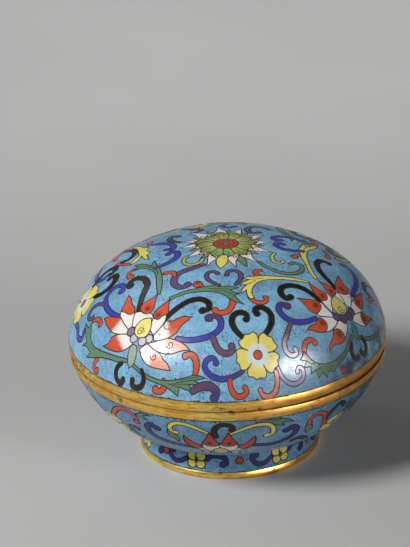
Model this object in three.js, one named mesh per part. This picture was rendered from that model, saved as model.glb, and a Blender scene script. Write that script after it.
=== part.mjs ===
// Round lidded box of enamelled copper with gilt bronze rims, 120 mm across.
// Millimetres, +Z up. The origin is the centre of the foot's underside.
import * as THREE from "three";

// Driving dimensions
const RIM_RADIUS = 60; // widest point, at both gilt rims
const LID_RISE = 38.9; // lid's rim plane to the crown
const LID_BAND_HEIGHT = 3.6;
const BOWL_RIM_HEIGHT = 40.4; // foot's underside to the bowl's rim
const BOWL_BAND_HEIGHT = 3.5;
const BOWL_SHOULDER_RADIUS = 58.9; // enamel's edge, under the bowl's gilt rim
const FOOT_HEIGHT = 10.3; // where the bowl meets the foot ring, outside
const FOOT_TOP_RADIUS = 33.2;
const FOOT_EDGE_RADIUS = 34.5;
const FOOT_EDGE_HEIGHT = 2.5;
const BOWL_BASE_HEIGHT = 7.4; // underside of the bowl, at its centre
const WALL = 2.2; // copper sheet with enamel inside and out
const RIM_THICKNESS = 3.2;
const FLANGE_HEIGHT = 3.2; // upright lip that keeps the lid centred
const FLANGE_THICKNESS = 1.4;
const FLANGE_CLEARANCE = 0.6;
const BEAD = 0.6; // how far a gilt rim swells out at mid height
const SEAT_GAP = 0.3; // between pieces that touch
const LID_TILT = THREE.MathUtils.degToRad(0.8); // the lid rests a little askew
const LID_LOW_SIDE = THREE.MathUtils.degToRad(235); // side where it sits lowest

// Shape of the dome: a superellipse, a little fuller than an ellipse at its shoulder
const DOME_SIDE_POWER = 2.3;
const DOME_CROWN_POWER = 2.06;

const SEGMENTS = 64;

const enamel = { color: 0x4f9ecf, roughness: 0.32, metalness: 0.05 };
const gilt = { color: 0xc9932f, roughness: 0.34, metalness: 0.95 };

const point = (r, z) => new THREE.Vector2(r, z);

// Turns a closed profile, given inside first and anticlockwise, about +Z.
function turned(name, profile, finish) {
  const shape = new THREE.LatheGeometry(profile, SEGMENTS);
  shape.rotateX(Math.PI / 2);
  const mesh = new THREE.Mesh(shape, new THREE.MeshStandardMaterial(finish));
  mesh.name = name;
  return mesh;
}

function closed(profile) {
  return [...profile, profile[0].clone()];
}

// Points of a dome of this radius and rise, from the height "foot" up to the crown.
function domeCurve(radius, rise, foot, count) {
  const start = Math.asin((foot / rise) ** (DOME_CROWN_POWER / 2));
  const points = [];
  for (let i = 0; i <= count; i++) {
    const angle = start + ((Math.PI / 2 - start) * i) / count;
    const r = i === count ? 0 : radius * Math.cos(angle) ** (2 / DOME_SIDE_POWER);
    points.push(point(r, rise * Math.sin(angle) ** (2 / DOME_CROWN_POWER)));
  }
  return points;
}

// Bowl's outer wall, from the foot ring up to the gilt rim.
function bowlWall(count) {
  const curve = new THREE.CubicBezierCurve(
    point(FOOT_TOP_RADIUS, FOOT_HEIGHT),
    point(FOOT_TOP_RADIUS + 12.7, FOOT_HEIGHT + 3.9),
    point(BOWL_SHOULDER_RADIUS - 5.2, BOWL_RIM_HEIGHT - BOWL_BAND_HEIGHT - 12.4),
    point(BOWL_SHOULDER_RADIUS, BOWL_RIM_HEIGHT - BOWL_BAND_HEIGHT - SEAT_GAP),
  );
  return curve.getPoints(count);
}

// Bowl's underside within the foot ring, from the centre out.
function bowlBase(count) {
  const curve = new THREE.QuadraticBezierCurve(
    point(0, BOWL_BASE_HEIGHT),
    point(FOOT_TOP_RADIUS * 0.66, BOWL_BASE_HEIGHT),
    point(FOOT_TOP_RADIUS, FOOT_HEIGHT),
  );
  return curve.getPoints(count);
}

// Moves a curve sideways by a distance, to the left of its direction.
function offset(points, distance) {
  return points.map((p, i) => {
    const before = points[Math.max(i - 1, 0)];
    const after = points[Math.min(i + 1, points.length - 1)];
    const along = after.clone().sub(before).normalize();
    return point(Math.max(p.x - along.y * distance, 0), p.y + along.x * distance);
  });
}

// Outer face of a gilt rim: swelling out between two radii, from low to high.
function beadCurve(lowRadius, low, highRadius, high, swell, count) {
  const points = [];
  for (let i = 0; i <= count; i++) {
    const share = i / count;
    const r = lowRadius + (highRadius - lowRadius) * share;
    points.push(point(r + swell * Math.sin(Math.PI * share), low + (high - low) * share));
  }
  return points;
}

function lidDome() {
  const foot = LID_BAND_HEIGHT + SEAT_GAP;
  const outer = domeCurve(RIM_RADIUS, LID_RISE, foot, 13);
  const inner = domeCurve(RIM_RADIUS - WALL, LID_RISE - WALL, foot, 9).reverse();
  return turned("lid_dome", [...inner, ...outer], enamel);
}

function lidRim() {
  const inside = RIM_RADIUS - RIM_THICKNESS;
  const edge = RIM_RADIUS - BEAD;
  const profile = [
    point(inside, LID_BAND_HEIGHT),
    point(inside, 0.5),
    point(inside + 0.5, 0),
    ...beadCurve(edge, 0, edge + 0.2, LID_BAND_HEIGHT, BEAD - 0.1, 4),
  ];
  return turned("lid_rim", closed(profile), gilt);
}

function bowlBody() {
  const base = bowlBase(4);
  const wall = bowlWall(8);
  const outer = [...base, ...wall.slice(1)];
  const inner = offset(outer, WALL);
  inner[0].x = 0;
  inner[inner.length - 1].y = outer[outer.length - 1].y;
  return turned("bowl", [...outer, ...inner.reverse()], enamel);
}

function bowlRim() {
  const low = BOWL_RIM_HEIGHT - BOWL_BAND_HEIGHT;
  const flangeOuter = RIM_RADIUS - RIM_THICKNESS - FLANGE_CLEARANCE;
  const flangeInner = flangeOuter - FLANGE_THICKNESS;
  const profile = [
    point(flangeInner, low),
    ...beadCurve(BOWL_SHOULDER_RADIUS, low, RIM_RADIUS - BEAD, BOWL_RIM_HEIGHT, BEAD - 0.1, 4),
    point(flangeOuter, BOWL_RIM_HEIGHT),
    point(flangeOuter, BOWL_RIM_HEIGHT + FLANGE_HEIGHT - 0.4),
    point(flangeOuter - 0.4, BOWL_RIM_HEIGHT + FLANGE_HEIGHT),
    point(flangeInner, BOWL_RIM_HEIGHT + FLANGE_HEIGHT),
  ];
  return turned("bowl_rim", closed(profile), gilt);
}

function footRing() {
  const inside = FOOT_TOP_RADIUS - WALL;
  const low = FOOT_EDGE_HEIGHT + SEAT_GAP;
  const profile = [
    point(inside, low),
    point(FOOT_EDGE_RADIUS - 0.5, low),
    point(FOOT_EDGE_RADIUS - 1, (low + FOOT_HEIGHT) / 2),
    point(FOOT_TOP_RADIUS, FOOT_HEIGHT - 1.5 * SEAT_GAP),
    point(inside, FOOT_HEIGHT - 0.75 - 1.5 * SEAT_GAP),
  ];
  return turned("foot_ring", closed(profile), enamel);
}

function footEdge() {
  const inside = FOOT_TOP_RADIUS - WALL;
  const profile = [
    point(inside, FOOT_EDGE_HEIGHT),
    point(inside, 0.4),
    point(inside + 0.4, 0),
    point(FOOT_EDGE_RADIUS - 0.7, 0),
    point(FOOT_EDGE_RADIUS - 0.2, 0.3),
    point(FOOT_EDGE_RADIUS, 1),
    point(FOOT_EDGE_RADIUS - 0.1, 1.8),
    point(FOOT_EDGE_RADIUS - 0.5, FOOT_EDGE_HEIGHT),
  ];
  return turned("foot_edge", closed(profile), gilt);
}

// The lid lies on the bowl's rim at its low side and gapes slightly opposite.
const lid = new THREE.Group();
lid.add(lidDome(), lidRim());
const tiltAxis = new THREE.Vector3(-Math.sin(LID_LOW_SIDE), Math.cos(LID_LOW_SIDE), 0);
lid.quaternion.setFromAxisAngle(tiltAxis, LID_TILT);
lid.position.z = BOWL_RIM_HEIGHT + SEAT_GAP + RIM_RADIUS * Math.sin(LID_TILT);

const box = new THREE.Group();
box.add(lid, bowlRim(), bowlBody(), footRing(), footEdge());

export default box;
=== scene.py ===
"""Round lidded box in cloisonne enamel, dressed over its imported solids."""
import math
from functools import partial

import bpy
import numpy as np
from mathutils import Matrix, Vector
from mathutils.geometry import delaunay_2d_cdt
from mathutils.kdtree import KDTree


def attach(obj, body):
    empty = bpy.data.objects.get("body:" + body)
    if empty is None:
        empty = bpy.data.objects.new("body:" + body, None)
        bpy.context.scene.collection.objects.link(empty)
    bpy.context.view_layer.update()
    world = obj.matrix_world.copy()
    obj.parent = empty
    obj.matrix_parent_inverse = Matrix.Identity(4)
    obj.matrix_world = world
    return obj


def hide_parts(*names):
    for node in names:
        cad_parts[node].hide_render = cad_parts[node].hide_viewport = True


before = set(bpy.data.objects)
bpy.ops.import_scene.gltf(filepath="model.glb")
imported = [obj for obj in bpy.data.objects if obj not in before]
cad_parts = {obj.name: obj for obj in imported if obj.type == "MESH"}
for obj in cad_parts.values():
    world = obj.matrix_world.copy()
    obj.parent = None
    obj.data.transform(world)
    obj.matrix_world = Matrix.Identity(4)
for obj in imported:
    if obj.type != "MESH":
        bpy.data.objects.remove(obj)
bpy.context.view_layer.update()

# ---------------------------------------------------------------- sizes, in millimetres
MM = 0.001
RIM_RADIUS = 60.0
LID_RISE = 38.9
LID_BAND_HEIGHT = 3.6
BOWL_RIM_HEIGHT = 40.4
BOWL_BAND_HEIGHT = 3.5
BOWL_SHOULDER_RADIUS = 58.9
FOOT_HEIGHT = 10.3
FOOT_TOP_RADIUS = 33.2
FOOT_EDGE_RADIUS = 34.5
FOOT_EDGE_HEIGHT = 2.5
BOWL_BASE_HEIGHT = 7.4
WALL = 2.2
RIM_THICKNESS = 3.2
FLANGE_HEIGHT = 3.2
FLANGE_THICKNESS = 1.4
FLANGE_CLEARANCE = 0.6
BEAD = 0.6
SEAT_GAP = 0.3
LID_TILT = math.radians(0.8)
LID_LOW_SIDE = math.radians(235)
DOME_SIDE_POWER = 2.3
DOME_CROWN_POWER = 2.06

HAIR = 0.05  # gap between pieces that look joined
WIRE = 0.44  # width of a cloison wire on the surface
VEIN = 0.3  # width of the finer wires inside leaves
GRAIN = 1.25  # spacing of the glaze's own points
ROW = 0.87  # distance between rows of those points, in spacings
CLEAR = 0.3  # least distance from such a point to a wire's edge
EDGE_GAP = 0.12  # distance from the pattern's wires to the glaze's own edge
RAGGED = 0.5  # most that the glaze falls short of its gilt rim
LID_CHIPS_RADIUS = 75.9  # where the lid's chips lie, along its curve from the crown

STEPS = 192  # segments round the box
TURN = np.linspace(0, 2 * math.pi, STEPS, endpoint=False)
CIRCLE = np.stack([np.cos(TURN), np.sin(TURN)], 1)
GROUND, METAL = -1, -2  # marks of the triangles that belong to no cell
CELL_GRIME = 0.12  # how much of the ground's clouds and specks a cell shows
LINING_GRIME = 0.5
CHANCE = np.random.default_rng(7)

# ---------------------------------------------------------------- glaze colours, as seen
SKY = (134, 191, 221)
# The ground colour darkened as painted shade, for the bowl and the foot low under the lid.
SKY_IN_SHADE = (112, 166, 202)
RED = (206, 82, 48)
DULL_RED = (190, 66, 44)
EYE_RED = (148, 56, 38)
YELLOW = (228, 214, 104)
GREEN = (96, 135, 104)
COBALT = (60, 66, 165)
BLACK = (34, 27, 26)
NAVY = (42, 50, 116)
PURPLE = (96, 76, 116)
BEAD_PURPLE = (96, 76, 112)
LILAC = (186, 180, 198)
WHITE = (236, 230, 224)
PINK = (238, 154, 130)
PALE = (210, 224, 222)
WIRE_BROWN = (50, 36, 27)
LINING = (112, 168, 196)
# A shade that only one cell has is given where that cell is drawn.


def linear(colour):
    """A colour as seen, from 0 to 255, as the three values a shader takes."""
    seen = np.array(colour, float) / 255
    return np.where(seen <= 0.04045, seen / 12.92, ((seen + 0.055) / 1.055) ** 2.4)


# ---------------------------------------------------------------- drawing on a flat plan
def curve_through(points, closed=False, step=0.6):
    """Points a short step apart on a smooth curve through given ones."""
    knots = np.array(points, float)
    if closed:
        knots = np.vstack([knots, knots[:1]])
    sides = np.diff(knots, axis=0)
    gaps = np.linalg.norm(sides, axis=1)
    slopes = sides / gaps[:, None]
    leans = np.empty_like(knots)
    blend = slopes[:-1] * gaps[1:, None] + slopes[1:] * gaps[:-1, None]
    leans[1:-1] = blend / (gaps[1:] + gaps[:-1])[:, None]
    if closed:
        turn = slopes[-1] * gaps[0] + slopes[0] * gaps[-1]
        leans[0] = turn / (gaps[0] + gaps[-1])
        leans[-1] = leans[0]
    else:
        leans[0] = 1.5 * slopes[0] - 0.5 * leans[1] if len(knots) > 2 else slopes[0]
        leans[-1] = 1.5 * slopes[-1] - 0.5 * leans[-2] if len(knots) > 2 else slopes[0]
    made = []
    for i, gap in enumerate(gaps):
        u = np.linspace(0, 1, max(int(math.ceil(gap / step)), 2), endpoint=False)[:, None]
        made.append(
            (2 * u**3 - 3 * u**2 + 1) * knots[i]
            + (u**3 - 2 * u**2 + u) * gap * leans[i]
            + (3 * u**2 - 2 * u**3) * knots[i + 1]
            + (u**3 - u**2) * gap * leans[i + 1]
        )
    if not closed:
        made.append(knots[-1:])
    return np.vstack(made)


def outline_through(points, corners=()):
    """A closed outline through given points, smooth except at its numbered corners."""
    if not corners:
        return curve_through(points, closed=True)
    count = len(points)
    runs = []
    for first, last in zip(corners, [*corners[1:], corners[0] + count]):
        run = [points[i % count] for i in range(first, last + 1)]
        runs.append(curve_through(run)[:-1])
    return np.vstack(runs)


def pushed_out(outline, distance):
    """A closed outline moved outwards, or inwards where the distance is negative."""
    ahead = np.roll(outline, -1, 0) - outline
    ahead /= np.maximum(np.linalg.norm(ahead, axis=1), 1e-9)[:, None]
    middle = ahead + np.roll(ahead, 1, 0)
    length = np.maximum(np.linalg.norm(middle, axis=1), 0.9)[:, None]
    middle /= length
    x, y = outline.T
    area = np.sum(x * np.roll(y, -1) - y * np.roll(x, -1))
    out = np.stack([middle[:, 1], -middle[:, 0]], 1) * (1 if area > 0 else -1)
    return outline + out * distance * 2 / length


def ribbon(line, half_widths):
    """Outline of a strip that follows a line, with round ends."""
    along = np.gradient(line, axis=0)
    along /= np.linalg.norm(along, axis=1)[:, None]
    left = np.stack([-along[:, 1], along[:, 0]], 1)
    half = np.maximum(half_widths, 0.02)[:, None]
    angles = np.radians([60, 30, 0, -30, -60])[:, None]
    far_cap = line[-1] + half[-1] * (np.cos(angles) * along[-1] + np.sin(angles) * left[-1])
    near_cap = line[0] - half[0] * (np.cos(angles) * along[0] + np.sin(angles) * left[0])
    return np.vstack([line + left * half, far_cap, (line - left * half)[::-1], near_cap])


def ring_of(x, y, radius):
    """A circle's outline, with points about half a millimetre apart."""
    count = max(int(radius * 2 * math.pi / 0.55), 12)
    turn = np.linspace(0, 2 * math.pi, count, endpoint=False)
    return np.stack([x + radius * np.cos(turn), y + radius * np.sin(turn)], 1)


def along_fade(start, end, colour):
    """Glaze that shades into another colour between two spots."""
    return ("along", np.array(start, float), np.array(end, float), colour)


def round_fade(x, y, near, far, colour):
    """Glaze that shades into another colour between two distances from a spot."""
    return ("round", np.array([x, y], float), near, far, colour)


def cell(colour, wires, fills, fade=None):
    """One enamelled cell, or several that run together: wire outlines and what they hold."""
    return {"colour": colour, "wires": wires, "fills": fills, "fade": fade}


def joined(*groups):
    """One list of cells from several, in the order in which they cover one another."""
    return [one for group in groups for one in group]


def patch(colour, points, corners=(), fade=None):
    """A cell inside one closed wire."""
    edge = outline_through(points, corners)
    return [cell(colour, [pushed_out(edge, WIRE / 2)], [pushed_out(edge, -WIRE / 2)], fade)]


def disc(colour, x, y, radius):
    """A round cell."""
    outer = ring_of(x, y, radius + WIRE / 2)
    return [cell(colour, [outer], [ring_of(x, y, radius - WIRE / 2)])]


def scroll(colour, points, wide=1.1, head=1.45, root=0.55, fade=None):
    """A curling strip with a narrow root, a slight neck and a ball on the inside of its end."""
    line = curve_through(points)
    share = np.linspace(0, 1, len(line))
    half = root + (wide - root) * np.clip(share / 0.35, 0, 1)
    left = np.concatenate([[0], np.cumsum(np.linalg.norm(np.diff(line, axis=0), axis=1))])
    left = left[-1] - left
    wires, fills = [], []
    if head:
        half *= 1 - 0.22 * np.exp(-(((left - head) / 1.3) ** 2))
        ahead, before = line[-1] - line[-2], line[-4] - line[-5]
        hand = np.sign(before[0] * ahead[1] - before[1] * ahead[0])
        inside = np.array([-ahead[1], ahead[0]]) * hand / np.linalg.norm(ahead)
        x, y = line[-1] + inside * (head - wide * 0.8) * 0.6
        wires.append(ring_of(x, y, head + WIRE / 2))
        fills.append(ring_of(x, y, head - WIRE / 2))
    wires.append(ribbon(line, half + WIRE / 2))
    fills.append(ribbon(line, half - WIRE / 2))
    return [cell(colour, wires, fills, fade)]


def stem(colour, points, wide):
    """A thin stalk of even width."""
    line = curve_through(points)
    half = np.full(len(line), wide)
    return [cell(colour, [ribbon(line, half + WIRE / 2)], [ribbon(line, half - WIRE / 2)])]


def wire(points, width=WIRE * 0.8):
    """A single wire with no cell of its own."""
    line = curve_through(points, step=0.5)
    return [cell(None, [ribbon(line, np.full(len(line), width / 2))], [])]


def vein(*points):
    """A finer wire inside a leaf or a petal."""
    return wire(points, VEIN)


def tooth_vein(tip, root):
    """A vein from the tip of a leaf's tooth, bowed a little on its way to the stalk."""
    return vein(tip, ((tip[0] + root[0]) / 2, (tip[1] + root[1]) / 2 - 0.3), root)


def curl(x, y, radius, start, turns=1.1, hand=1):
    """A small spiral wire inside a cell."""
    share = np.linspace(0, 1, 9)
    angle = math.radians(start) + hand * turns * 2 * math.pi * share
    reach = radius * (1 - 0.75 * share)
    return wire(list(zip(x + reach * np.cos(angle), y + reach * np.sin(angle))))


def lotus_petal(points, tip, blush=None, tint=RED, base=WHITE):
    """A white petal whose glaze shades into a tint between two spots; its root is open."""
    fade = along_fade(*blush, tint) if blush else None
    return patch(base, points, (0, tip, len(points) - 1), fade)


def flame(points, tip, eye=None, colour=RED):
    """A petal's curled tip in a wire of its own, dark round the small spiral of its eye."""
    if not eye:
        return patch(colour, points, (tip,))
    fade = round_fade(*eye[:2], 0.4, 2.1, colour)
    return patch(EYE_RED, points, (tip,), fade) + curl(*eye)


def blossom(x, y, radius, lean):
    """A yellow flower with five two-lobed petals, a pale star and a red eye."""
    petal = [(-36, 0.62), (-32, 0.84), (-23, 0.98), (-11, 0.93), (0, 1.0), (11, 0.93), (22, 0.99),
        (32, 0.84)]
    spots = []
    for k in range(5):
        for angle, reach in petal:
            turn = math.radians(lean + 36 + 72 * k + angle)
            spots.append((x + radius * reach * math.cos(turn), y + radius * reach * math.sin(turn)))
    fade = round_fade(x, y, radius * 0.36, radius * 0.6, YELLOW)
    made = patch(PALE, spots, tuple(range(0, 40, 8)), fade)
    for k in range(5):
        cleft = math.radians(lean + 72 * k)
        ends = [(x + radius * r * math.cos(cleft), y + radius * r * math.sin(cleft))
            for r in (0.48, 0.66)]
        made += wire(ends, WIRE)
    return made + disc(RED, x, y, radius * 0.19)


def turned_round(cells, degrees):
    """A copy of some cells, turned about the plan's centre."""
    c, s = math.cos(math.radians(degrees)), math.sin(math.radians(degrees))
    spin = np.array([[c, s], [-s, c]])
    made = []
    for old in cells:
        fade = old["fade"]
        if fade and fade[0] == "along":
            fade = ("along", fade[1] @ spin, fade[2] @ spin, fade[3])
        elif fade:
            fade = ("round", fade[1] @ spin, *fade[2:])
        wires = [w @ spin for w in old["wires"]]
        fills = [f @ spin for f in old["fills"]]
        made.append(cell(old["colour"], wires, fills, fade))
    return made


# ---------------------------------------------------------------- surfaces of revolution
def surface(radii, heights, plan_radii, ground):
    """A turned surface: where each radius of the flat plan lands on it."""
    r, z, plan = (np.asarray(a, float) for a in (radii, heights, plan_radii))
    if plan[0] > plan[-1]:
        r, z, plan = r[::-1], z[::-1], plan[::-1]
    dr, dz = np.gradient(r, plan), np.gradient(z, plan)
    length = np.hypot(dr, dz)
    return {"r": r, "z": z, "plan": plan, "nr": -dz / length, "nz": dr / length, "ground": ground}


def arc_lengths(r, z):
    """Distance along a section from its first point."""
    return np.concatenate([[0], np.cumsum(np.hypot(np.diff(r), np.diff(z)))])


def dome_section(radius, rise, foot, count=600):
    """Radii and heights of a dome, from its crown down to a height."""
    low = math.asin((foot / rise) ** (DOME_CROWN_POWER / 2))
    angle = np.linspace(math.pi / 2, low, count)
    r = radius * np.maximum(np.cos(angle), 0) ** (2 / DOME_SIDE_POWER)
    r[0] = 0
    return r, rise * np.sin(angle) ** (2 / DOME_CROWN_POWER)


def bowl_section(count=400):
    """Radii and heights of the bowl's outer wall, from its shoulder down to the foot."""
    low_r, low_z = FOOT_TOP_RADIUS, FOOT_HEIGHT
    top_r, top_z = BOWL_SHOULDER_RADIUS, BOWL_RIM_HEIGHT - BOWL_BAND_HEIGHT
    u = np.linspace(1, 0, count)
    knots = [(low_r, low_z), (low_r + 12.7, low_z + 3.9), (top_r - 5.2, top_z - 12.4), (top_r, top_z)]
    mix = ((1 - u) ** 3, 3 * u * (1 - u) ** 2, 3 * u * u * (1 - u), u**3)
    return tuple(sum(m * knot[axis] for m, knot in zip(mix, knots)) for axis in (0, 1))


def base_section(count=24):
    """Radii and heights of the bowl's underside, from the foot in to the centre."""
    u = np.linspace(1, 0, count)
    mix = ((1 - u) ** 2, 2 * u * (1 - u), u * u)
    r = mix[1] * FOOT_TOP_RADIUS * 0.66 + mix[2] * FOOT_TOP_RADIUS
    z = (mix[0] + mix[1]) * BOWL_BASE_HEIGHT + mix[2] * FOOT_HEIGHT
    return r, z


def inwards(r, z, distance):
    """A section moved sideways, to the right of its direction."""
    dr, dz = np.gradient(r), np.gradient(z)
    length = np.hypot(dr, dz)
    return r + dz / length * distance, z - dr / length * distance


def even_plan(r, z, edge):
    """Plan radii that keep small shapes undistorted, with the first at a chosen radius."""
    middle = (r[1:] + r[:-1]) / 2
    steps = np.hypot(np.diff(r), np.diff(z)) / middle
    return edge * np.exp(-np.concatenate([[0], np.cumsum(steps)]))


# ---------------------------------------------------------------- glazing
def within(outline, spots):
    """Which spots lie inside an outline, even where it crosses itself."""
    x, y = spots[:, :1], spots[:, 1:]
    x0, y0 = outline.T
    x1, y1 = np.roll(outline, -1, 0).T
    side = (x1 - x0) * (y - y0) - (x - x0) * (y1 - y0)
    up = ((y0 <= y) & (y1 > y) & (side > 0)).sum(1)
    down = ((y0 > y) & (y1 <= y) & (side < 0)).sum(1)
    return up != down


def trimmed(outline, inner, outer):
    """An outline pulled in to the glaze's own edges."""
    reach = np.linalg.norm(outline, axis=1)
    kept = np.clip(reach, inner + EDGE_GAP if inner else 0, outer - EDGE_GAP)
    return outline * (kept / np.maximum(reach, 1e-6))[:, None]


def faded(fade, spots, colour):
    """The colour at some spots of a cell whose glaze shades into another."""
    if fade[0] == "along":
        way = fade[2] - fade[1]
        share = (spots - fade[1]) @ way / (way @ way)
    else:
        share = (np.linalg.norm(spots - fade[1], axis=-1) - fade[2]) / (fade[3] - fade[2])
    share = np.clip(share, 0, 1)[..., None]
    share = share * share * (3 - 2 * share)
    return linear(colour) * (1 - share) + linear(fade[-1]) * share


def cut_up(loops, inner, outer):
    """The plan as triangles, cut along every loop and filled with evenly spaced points."""
    spots = np.vstack(loops)
    edges, first = [], 0
    for loop in loops:
        count = len(loop)
        edges += [(first + i, first + (i + 1) % count) for i in range(count)]
        first += count
    tree = KDTree(len(spots))
    for i, (x, y) in enumerate(spots):
        tree.insert((x, y, 0), i)
    tree.balance()
    rows = int(outer / (GRAIN * ROW)) + 1
    field = [(GRAIN * (i + (j % 2) / 2), GRAIN * ROW * j)
        for j in range(-rows, rows + 1) for i in range(-rows - 1, rows + 2)]
    reach = np.linalg.norm(np.array(field), axis=1)
    keep = (reach < outer - RAGGED) & (reach > (inner + RAGGED if inner else -1))
    field = [p for p, k in zip(field, keep) if k and tree.find((*p, 0))[2] > CLEAR]
    points = [Vector(p) for p in spots] + [Vector(p) for p in field]
    cut = delaunay_2d_cdt(points, edges, [], 0, 1e-4, True)
    verts = np.array([tuple(v) for v in cut[0]])
    faces = np.array([f for f in cut[2] if len(f) == 3])
    place = {old: new for new, olds in enumerate(cut[3]) for old in olds}
    reach = np.linalg.norm(verts[faces].mean(1), axis=1)
    return verts, faces[reach > (inner if inner else -1)], place


def owners(cells, centres, ragged, outer):
    """Each triangle's owner: the number of the last cell laid over it, GROUND or METAL."""
    owner = np.full(len(centres), GROUND)
    for number, c in enumerate(cells):
        for outlines, mark in ((c["wires"], METAL), (c["fills"], number)):
            for outline in outlines:
                low, high = outline.min(0), outline.max(0)
                near = np.where(((centres >= low) & (centres <= high)).all(1))[0]
                if len(near):
                    owner[near[within(outline, centres[near])]] = mark
    rim = np.where(np.linalg.norm(centres, axis=1) > outer - RAGGED - 0.1)[0]
    owner[rim[~within(ragged, centres[rim])]] = METAL
    return owner


def glazed_plan(cells, inner, outer, ground):
    """The flat pattern cut into triangles, with a glaze colour at each corner and a wire mask."""
    loops = [CIRCLE * outer]
    if inner:
        loops.append(CIRCLE * inner)
    for c in cells:
        c["wires"] = [trimmed(w, inner, outer) for w in c["wires"]]
        c["fills"] = [trimmed(f, inner, outer) for f in c["fills"]]
        loops += c["wires"] + c["fills"]
    ragged = CIRCLE * (outer - CHANCE.uniform(EDGE_GAP, RAGGED, STEPS))[:, None]
    verts, faces, place = cut_up([*loops, ragged], inner, outer)
    owner = owners(cells, verts[faces].mean(1), ragged, outer)
    glaze = np.empty((len(faces), 3, 4))
    glaze[:, :, :3] = linear(ground)
    glaze[:, :, 3] = 1
    for number, c in enumerate(cells):
        mine = owner == number
        if not mine.any():
            continue
        glaze[mine, :, 3] = CELL_GRIME
        if c["fade"]:
            glaze[mine, :, :3] = faded(c["fade"], verts[faces[mine]], c["colour"])
        else:
            glaze[mine, :, :3] = linear(c["colour"])
    glaze[owner == METAL, :, :3] = linear(WIRE_BROWN)
    glaze[owner == METAL, :, 3] = 0
    outer_ring = [place[i] for i in range(STEPS)]
    inner_ring = [place[i] for i in range(STEPS, 2 * STEPS)] if inner else []
    return verts, faces, glaze, owner == METAL, {"outer": outer_ring, "inner": inner_ring}


def round_ring(radius, height):
    """One ring of points or of normals, from their distance off the axis and their height."""
    return np.column_stack([CIRCLE * radius, np.full(STEPS, height)])


def lined(linings, rings, count):
    """Points, faces and normals of the plain sections that close a patterned surface.

    Each lining is (where it starts, runs of section points, where it ends, side), with a start
    or an end of "outer" or "inner" for the pattern's own edges, or "pole"."""
    places, corners, shading = [], [], []
    for start, runs, end, side in linings:
        last = rings[start]
        for number, (run_r, run_z) in enumerate(runs):
            dr, dz = np.gradient(run_r), np.gradient(run_z)
            length = np.hypot(dr, dz)
            lean = np.column_stack([-dz / length, dr / length]) * side
            for k in range(1, len(run_r)):
                closing = number == len(runs) - 1 and k == len(run_r) - 1
                at_pole = closing and end == "pole"
                if at_pole:
                    ring = [count] * STEPS
                    places.append(np.array([[0, 0, run_z[k]]]))
                    count += 1
                elif closing:
                    ring = rings[end]
                else:
                    ring = list(range(count, count + STEPS))
                    places.append(round_ring(run_r[k], run_z[k]))
                    count += STEPS
                a, b = np.array(last), np.roll(last, -1)
                c, d = np.roll(ring, -1), np.array(ring)
                here, there = round_ring(*lean[k - 1]), round_ring(*lean[k])
                if at_pole:
                    there[:] = (0, 0, lean[k, 1])
                next_here, next_there = np.roll(here, -1, 0), np.roll(there, -1, 0)
                halves = [((a, b, c), (here, next_here, next_there))]
                if not at_pole:
                    halves.append(((a, c, d), (here, next_there, there)))
                for triangle, lit in halves:
                    corners.append(np.column_stack(triangle)[:, ::-side])
                    shading.append(np.stack(lit, 1)[:, ::-side])
                last = ring
    return places, corners, shading


def enamel_piece(name, cells, shape, linings, finish, settle=None):
    """A closed enamelled body: its patterned outside, and plain sections that close it."""
    inner = shape["plan"][0] if shape["plan"][0] > 1e-6 else 0
    plan, faces, glaze, is_wire, rings = glazed_plan(cells, inner, shape["plan"][-1], shape["ground"])
    reach = np.linalg.norm(plan, axis=1)
    way = plan / np.maximum(reach, 1e-9)[:, None]
    r, z, nr, nz = (np.interp(reach, shape["plan"], shape[k]) for k in ("r", "z", "nr", "nz"))
    sign = shape.get("side", 1)
    normals = np.column_stack([way * nr[:, None], nz]) * sign
    faces = faces[:, ::sign]
    places, corners, shading = lined(linings, rings, len(plan))
    plain = np.empty((sum(len(c) for c in corners), 3, 4))
    plain[:, :, :3] = linear(LINING)
    plain[:, :, 3] = LINING_GRIME
    places = np.vstack([np.column_stack([way * r[:, None], z]), *places])
    shading = np.vstack([normals[faces], *shading])
    colours = np.vstack([glaze[:, ::sign], plain])
    masks = np.vstack([np.repeat(is_wire[:, None], 3, 1), np.zeros((len(plain), 3))])
    if settle:
        places, shading = settle(places, shading)
    mesh = bpy.data.meshes.new(name)
    mesh.from_pydata((places * MM).tolist(), [], np.vstack([faces, *corners]).tolist())
    tint = mesh.attributes.new("glaze", "FLOAT_COLOR", "CORNER")
    tint.data.foreach_set("color", colours.astype(np.float32).ravel())
    mask = mesh.attributes.new("cloison", "FLOAT", "CORNER")
    mask.data.foreach_set("value", masks.astype(np.float32).ravel())
    mesh.shade_smooth()
    mesh.normals_split_custom_set(shading.reshape(-1, 3).tolist())
    mesh.materials.append(finish)
    piece = bpy.data.objects.new(name, mesh)
    bpy.context.scene.collection.objects.link(piece)
    return piece


def on_lid(places, normals):
    """From the lid's own frame to the box: tilted a little and set on the bowl."""
    axis = Vector((-math.sin(LID_LOW_SIDE), math.cos(LID_LOW_SIDE), 0))
    tilt = np.array(Matrix.Rotation(LID_TILT, 3, axis))
    lift = np.array([0, 0, BOWL_RIM_HEIGHT + SEAT_GAP + RIM_RADIUS * math.sin(LID_TILT)])
    return places @ tilt.T + lift, normals @ tilt.T


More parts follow.
